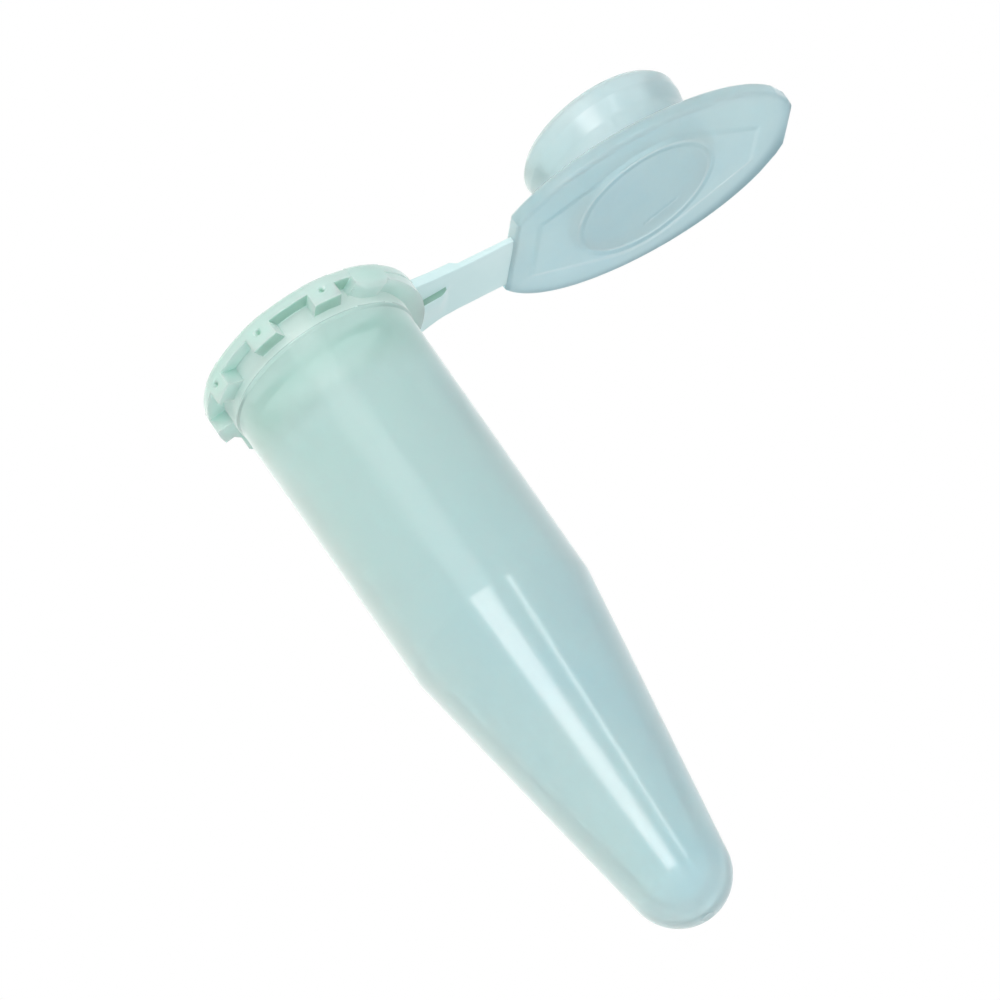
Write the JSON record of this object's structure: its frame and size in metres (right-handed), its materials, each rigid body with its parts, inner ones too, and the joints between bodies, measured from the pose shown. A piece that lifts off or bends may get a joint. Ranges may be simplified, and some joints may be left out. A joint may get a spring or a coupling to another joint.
{
  "type": "microcentrifuge tube",
  "caption": "Small translucent tube with a conical base, notched collar, strap hinge and snap lid with sealing plug, lid open.",
  "frame": {"origin": "on the tube's axis, in the plane of the undersides of the collar's lugs, which rest on the edge of a rack hole", "axes": "+Z along the tube's axis, out of its mouth; +X towards the strap and the open lid; +Y along the hinge's fold lines"},
  "size_m": [0.0365, 0.013, 0.0436],
  "materials": {
    "tube_wall": "glossy translucent natural polypropylene",
    "collar": "satin translucent natural polypropylene",
    "strap": "satin translucent natural polypropylene",
    "lid": "satin translucent natural polypropylene, frosted outer face"
  },
  "bodies": {
    "tube": {"barrel": "tube_wall", "cone": "tube_wall", "tip": "tube_wall", "gate_mark": "tube_wall", "collar_flange": "collar", "collar_ring": "collar", "hinge_root": "collar", "hinge_rib": "collar", "root_web": "strap"},
    "strap": {"strap": "strap"},
    "lid": {"strap_tail": "strap", "lid_plate": "lid", "thumb_tab": "lid", "plug_neck": "lid", "seal_bead": "lid"}
  },
  "joints": [
    {"name": "strap_fold", "type": "hinge", "parent": "tube", "child": "strap", "pos_m": [0.00942, 0, 0.00068], "axis": [0, -1, 0], "range_deg": [-10, 90], "stiffness_Nm_per_rad": 0.001},
    {"name": "lid_fold", "type": "hinge", "parent": "strap", "child": "lid", "pos_m": [0.01118, 0, 0.00068], "axis": [0, -1, 0], "range_deg": [-10, 90]}
  ],
  "couplings": [
    {"joint": "lid_fold", "follows": "strap_fold", "ratio": 1}
  ]
}
